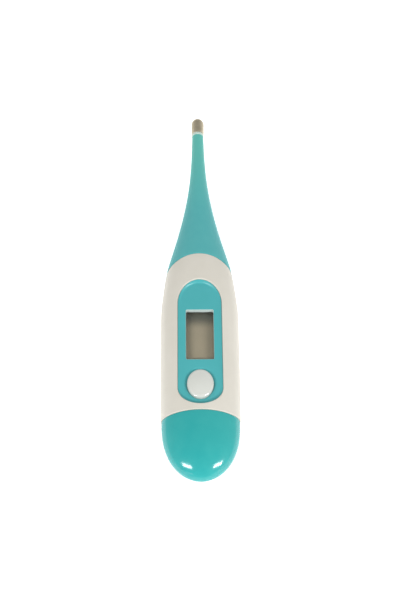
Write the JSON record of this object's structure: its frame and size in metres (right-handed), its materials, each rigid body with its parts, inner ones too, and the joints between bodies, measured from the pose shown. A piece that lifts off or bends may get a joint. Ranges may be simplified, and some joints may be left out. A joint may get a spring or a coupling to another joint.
{
  "type": "digital thermometer",
  "caption": "Slim handheld clinical thermometer with an oval recessed display panel, a domed key, a pull-off battery cap and a tapered bending probe with a metal tip.",
  "frame": {"origin": "bottom centre of the whole instrument, on the flat of the back shell", "axes": "+X across the display, +Y from the battery cap to the metal tip, +Z out of the display"},
  "size_m": [0.0234, 0.1344, 0.0122],
  "materials": {
    "white_shell": "satin white moulding",
    "turquoise_panel": "satin turquoise moulding",
    "turquoise_cap": "satin turquoise moulding",
    "soft_sleeve": "matt soft elastomer",
    "key_white": "glossy white",
    "clear_window": "clear moulded acrylic",
    "lcd_glass": "polarised display glass",
    "reflector_foil": "matt foil",
    "black_foam": "matt foam",
    "ivory_plastic": "matt moulding",
    "circuit_board": "green solder mask",
    "black_epoxy": "cast epoxy",
    "ceramic": "fired ceramic",
    "stainless": "satin stainless steel",
    "brass": "plain brass",
    "silicone": "translucent silicone",
    "lead_insulation": "grey wire insulation",
    "resin": "cast thermal resin"
  },
  "bodies": {
    "housing": {"front_shell": "white_shell", "back_shell": "white_shell", "face_panel": "turquoise_panel", "window_lens": "clear_window", "display_gasket": "black_foam", "lcd_front_glass": "lcd_glass", "lcd_rear_glass": "lcd_glass", "lcd_reflector": "reflector_foil", "lcd_cradle": "ivory_plastic", "zebra_strip": "black_foam", "circuit_board": "circuit_board", "chip_blob": "black_epoxy", "clock_crystal": "stainless", "capacitor_1": "ceramic", "capacitor_2": "ceramic", "resistor_1": "black_epoxy", "resistor_2": "black_epoxy", "snap_dome": "stainless", "buzzer_plate": "brass", "buzzer_ceramic": "ceramic", "buzzer_lead_1": "lead_insulation", "buzzer_lead_2": "lead_insulation", "key_gasket": "silicone", "battery_bay": "ivory_plastic", "seal_ring": "silicone", "battery_cell": "stainless", "contact_bottom": "brass", "contact_top": "brass", "probe_core": "ivory_plastic", "sleeve_root": "soft_sleeve", "lead_root": "lead_insulation"},
    "key": {"key_cap": "key_white", "key_stem": "silicone"},
    "end_cap": {"battery_cap": "turquoise_cap"},
    "probe_1": {"sleeve_link_1": "soft_sleeve", "lead_link_1": "lead_insulation"},
    "probe_2": {"sleeve_link_2": "soft_sleeve", "lead_link_2": "lead_insulation"},
    "probe_3": {"sleeve_link_3": "soft_sleeve", "lead_link_3": "lead_insulation"},
    "probe_4": {"sleeve_link_4": "soft_sleeve", "lead_link_4": "lead_insulation"},
    "probe_tip": {"sleeve_link_5": "soft_sleeve", "lead_link_5": "lead_insulation", "tip_collar": "key_white", "tip_cap": "stainless", "thermal_resin": "resin", "thermistor": "black_epoxy"}
  },
  "joints": [
    {"name": "key_press", "type": "slide", "parent": "housing", "child": "key", "axis": [0, 0, -1], "range_m": [0, 0.0005], "stiffness_N_per_m": 2000, "springref_m": -0.0002, "deforming": ["snap_dome"]},
    {"name": "cap_pull", "type": "slide", "parent": "housing", "child": "end_cap", "axis": [0, -1, 0], "range_m": [0, 0.018]},
    {"name": "bend_1", "type": "hinge", "parent": "housing", "child": "probe_1", "pos_m": [0, 0.035, 0.006], "axis": [1, 0, 0], "range_deg": [-20, 20], "stiffness_Nm_per_rad": 0.02},
    {"name": "sway_1", "type": "hinge", "parent": "probe_1", "child": "probe_2", "pos_m": [0, 0.04, 0.006], "axis": [0, 0, 1], "range_deg": [-20, 20], "stiffness_Nm_per_rad": 0.02},
    {"name": "bend_2", "type": "hinge", "parent": "probe_2", "child": "probe_3", "pos_m": [0, 0.045, 0.006], "axis": [1, 0, 0], "range_deg": [-20, 20]},
    {"name": "sway_2", "type": "hinge", "parent": "probe_3", "child": "probe_4", "pos_m": [0, 0.05, 0.006], "axis": [0, 0, 1], "range_deg": [-20, 20]},
    {"name": "bend_3", "type": "hinge", "parent": "probe_4", "child": "probe_tip", "pos_m": [0, 0.055, 0.006], "axis": [1, 0, 0], "range_deg": [-20, 20]}
  ],
  "couplings": [
    {"joint": "bend_2", "follows": "bend_1", "ratio": 1},
    {"joint": "bend_3", "follows": "bend_1", "ratio": 1},
    {"joint": "sway_2", "follows": "sway_1", "ratio": 1}
  ]
}
